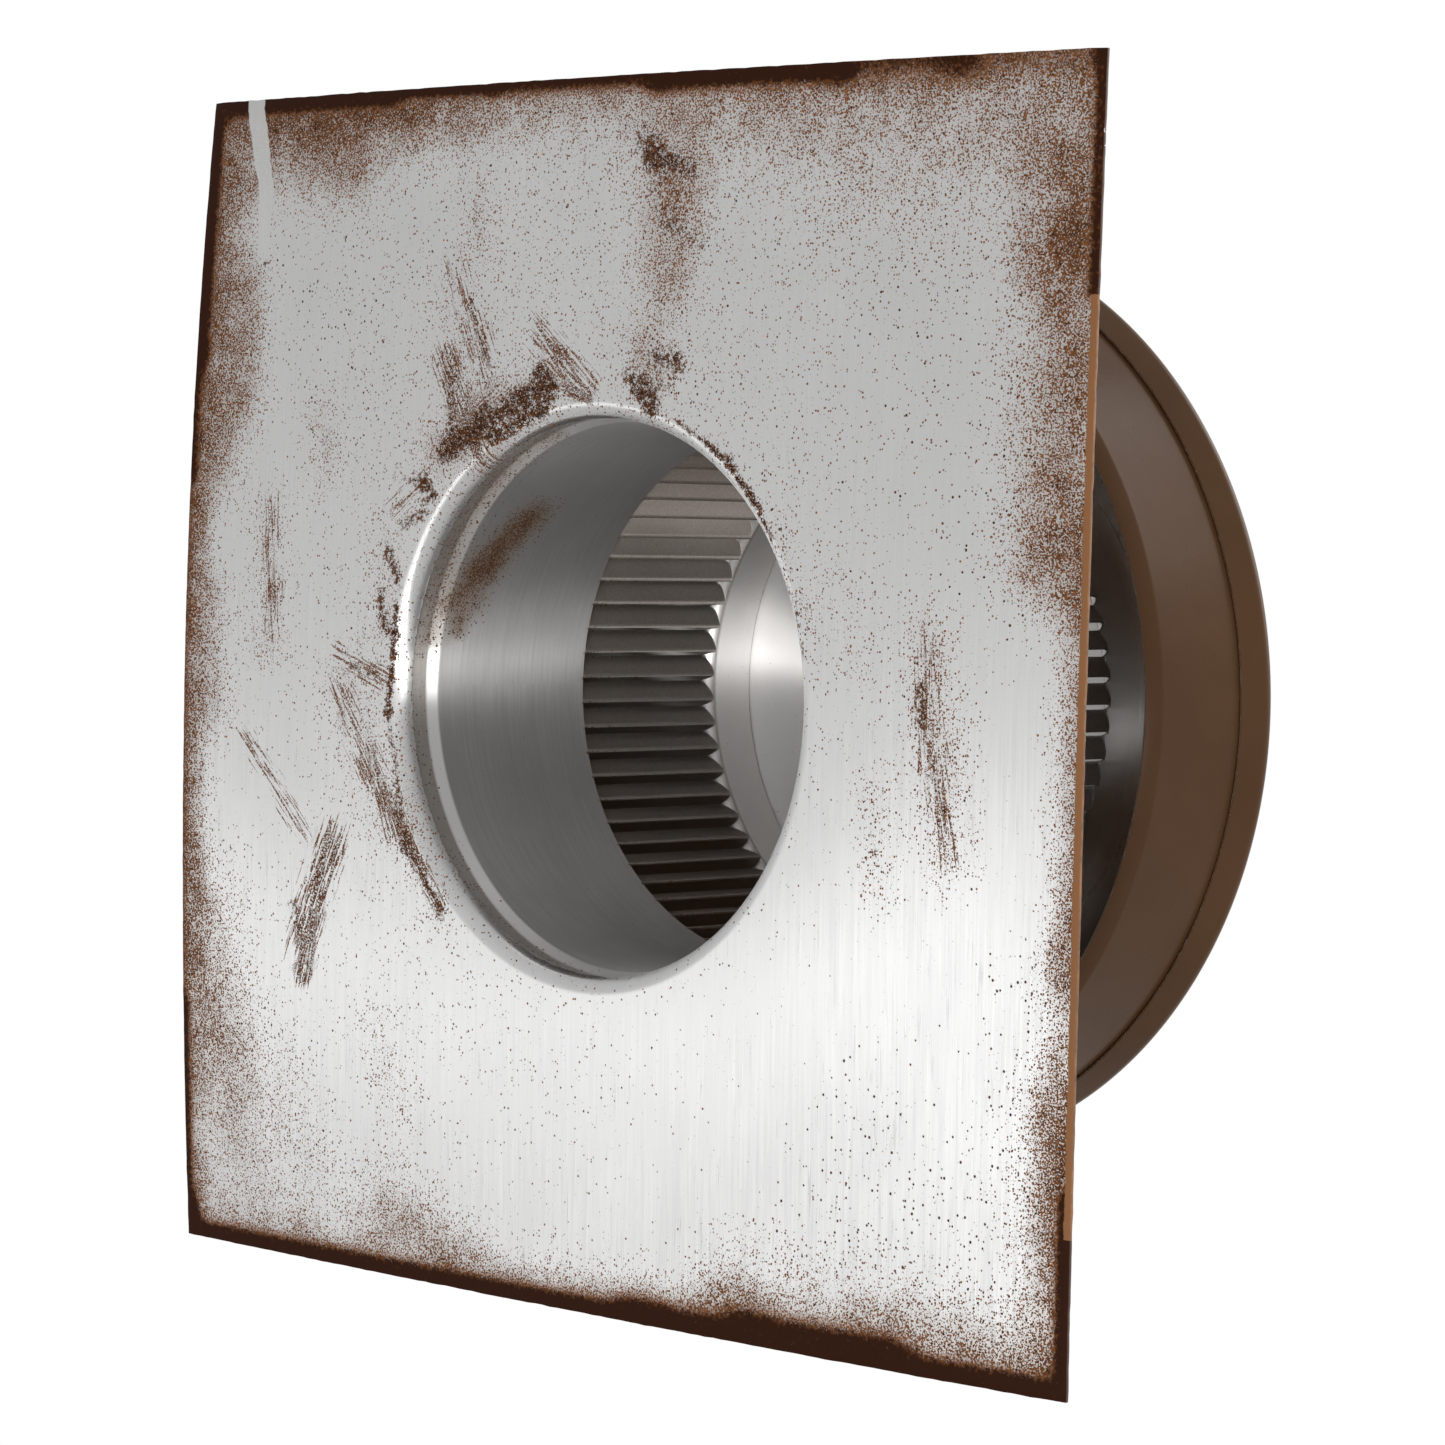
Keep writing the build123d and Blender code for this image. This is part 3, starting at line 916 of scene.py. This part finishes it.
# The cap is a shallow dome of spun aluminium, painted brown outside and bare under. Its rim is
# turned down and in round the wind band's flange, which holds the band, and ends in a raw edge.
CAP_LOW, CAP_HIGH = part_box("cap")
CAP_SHEET = 0.8 * MM
DOME_RADIUS = 382 * MM
CAP_EDGE_RADIUS = 131.4 * MM
RIM_LEAN = math.radians(22)
CAP_BEND = 3.5 * MM
CAP_SEGMENTS = 320
DOME_RINGS = 26
CORNER_WIDTH = 9 * MM


def dome_height(radius):
    """Height of the dome's outside at a radius."""
    return CAP_HIGH.z - DOME_RADIUS + math.sqrt(DOME_RADIUS * DOME_RADIUS - radius * radius)


corner_height = CAP_LOW.z
for _ in range(20):
    corner_radius = CAP_EDGE_RADIUS + (corner_height - CAP_LOW.z) * math.tan(RIM_LEAN)
    corner_height = dome_height(corner_radius)
inner_radius = corner_radius - CORNER_WIDTH
cap_profile = rounded(
    [
        (CAP_EDGE_RADIUS, CAP_LOW.z),
        (corner_radius, corner_height),
        (inner_radius, dome_height(inner_radius)),
    ],
    [CAP_BEND],
    steps=8,
)
for step in range(1, DOME_RINGS):
    radius = inner_radius * (1 - step / DOME_RINGS)
    cap_profile.append((radius, dome_height(radius)))
cap = draw_piece("dressed_cap", cap_profile, CAP_SEGMENTS)
crown_rise = {"value": (0, 0, CAP_HIGH.z - cap_profile[-1][1])}
bpy.ops.mesh.extrude_edges_move(TRANSFORM_OT_translate=crown_rise)
bpy.ops.mesh.merge(type="CENTER")
seam_and_face(cap, upwards=True)
for finish in (paint_finish, rolled_sheet("spun_inside", dull=-0.03), edge_finish):
    cap.data.materials.append(finish)
thicken(cap, CAP_SHEET, side=-1, back=1, rim=2)
bpy.ops.object.shade_smooth_by_angle(angle=SMOOTH_UNDER)
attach(cap, "root")
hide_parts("cap")
bpy.ops.object.select_all(action="DESELECT")

# The studio is a plain pale floor far below the vent, a white surround, soft lamps and a camera
# that looks up at the flashing's underside from its right.
FLOOR_HEIGHT = -1.75
FLOOR_GREY = (0.8, 0.8, 0.8, 1)
WHITE = (1, 1, 1, 1)
SURROUND_LIGHT = 0.62
LAMP_AIM = Vector((0, 0, 0.05))

bpy.ops.mesh.primitive_plane_add(size=40, location=(0, 0, FLOOR_HEIGHT))
floor = bpy.context.object
floor.name = "floor"
floor_finish = Finish(bpy.data.materials.new("floor"))
floor.data.materials.append(floor_finish.surface(FLOOR_GREY, 0.0, 0.6))

# The surround is white where it is seen, also in a reflection, and dimmer where it lights
world = bpy.data.worlds.new("surround")
bpy.context.scene.world = world
surround = Finish(world)
path = surround.node("LightPath")
rays = ("Is Camera Ray", "Is Glossy Ray", "Is Transmission Ray")
seen = surround.most(*(path.outputs[ray] for ray in rays))
strength = surround.span(seen, low=0, high=1, to_low=SURROUND_LIGHT, to_high=1.0)
background = surround.node("Background", {"Color": WHITE, "Strength": strength})
surround.node("OutputWorld", {0: background.outputs[0]})


def soft_lamp(name, place, wide, high, power):
    """A soft lamp, so wide and high, at a place and turned towards the vent."""
    light = bpy.data.lights.new(name, "AREA")
    light.shape = "RECTANGLE"
    light.size = wide
    light.size_y = high
    light.energy = power
    lamp = bpy.data.objects.new(name, light)
    bpy.context.scene.collection.objects.link(lamp)
    lamp.location = place
    lamp.rotation_euler = (LAMP_AIM - Vector(place)).to_track_quat("-Z", "Y").to_euler()
    lamp.visible_camera = False


soft_lamp("key", (1.06, 0.30, -1.418), wide=0.12, high=0.6, power=5.2)
soft_lamp("low", (1.75, 0.20, -0.42), wide=0.5, high=0.7, power=5)
soft_lamp("under", (0.74, 0.52, -1.42), wide=0.32, high=0.32, power=3.3)
soft_lamp("across", (-0.95, 0.27, -1.05), wide=0.16, high=0.5, power=0.14)
soft_lamp("top", (0.6, -0.8, 1.6), wide=1.2, high=1.2, power=14.5)

camera_data = bpy.data.cameras.new("camera")
camera_data.lens = 115.17
camera_data.sensor_width = 36
camera_data.clip_start = 0.05
camera = bpy.data.objects.new("camera", camera_data)
bpy.context.scene.collection.objects.link(camera)
camera.matrix_world = Matrix(
    (
        (0.72893513, -0.05059214, 0.68271078, 0.88816911),
        (-0.02458625, -0.99855683, -0.04774693, -0.05448184),
        (0.68414113, 0.01801911, -0.72912703, -0.89520766),
        (0, 0, 0, 1),
    )
)
bpy.context.scene.camera = camera
bpy.context.scene.view_settings.view_transform = "Standard"
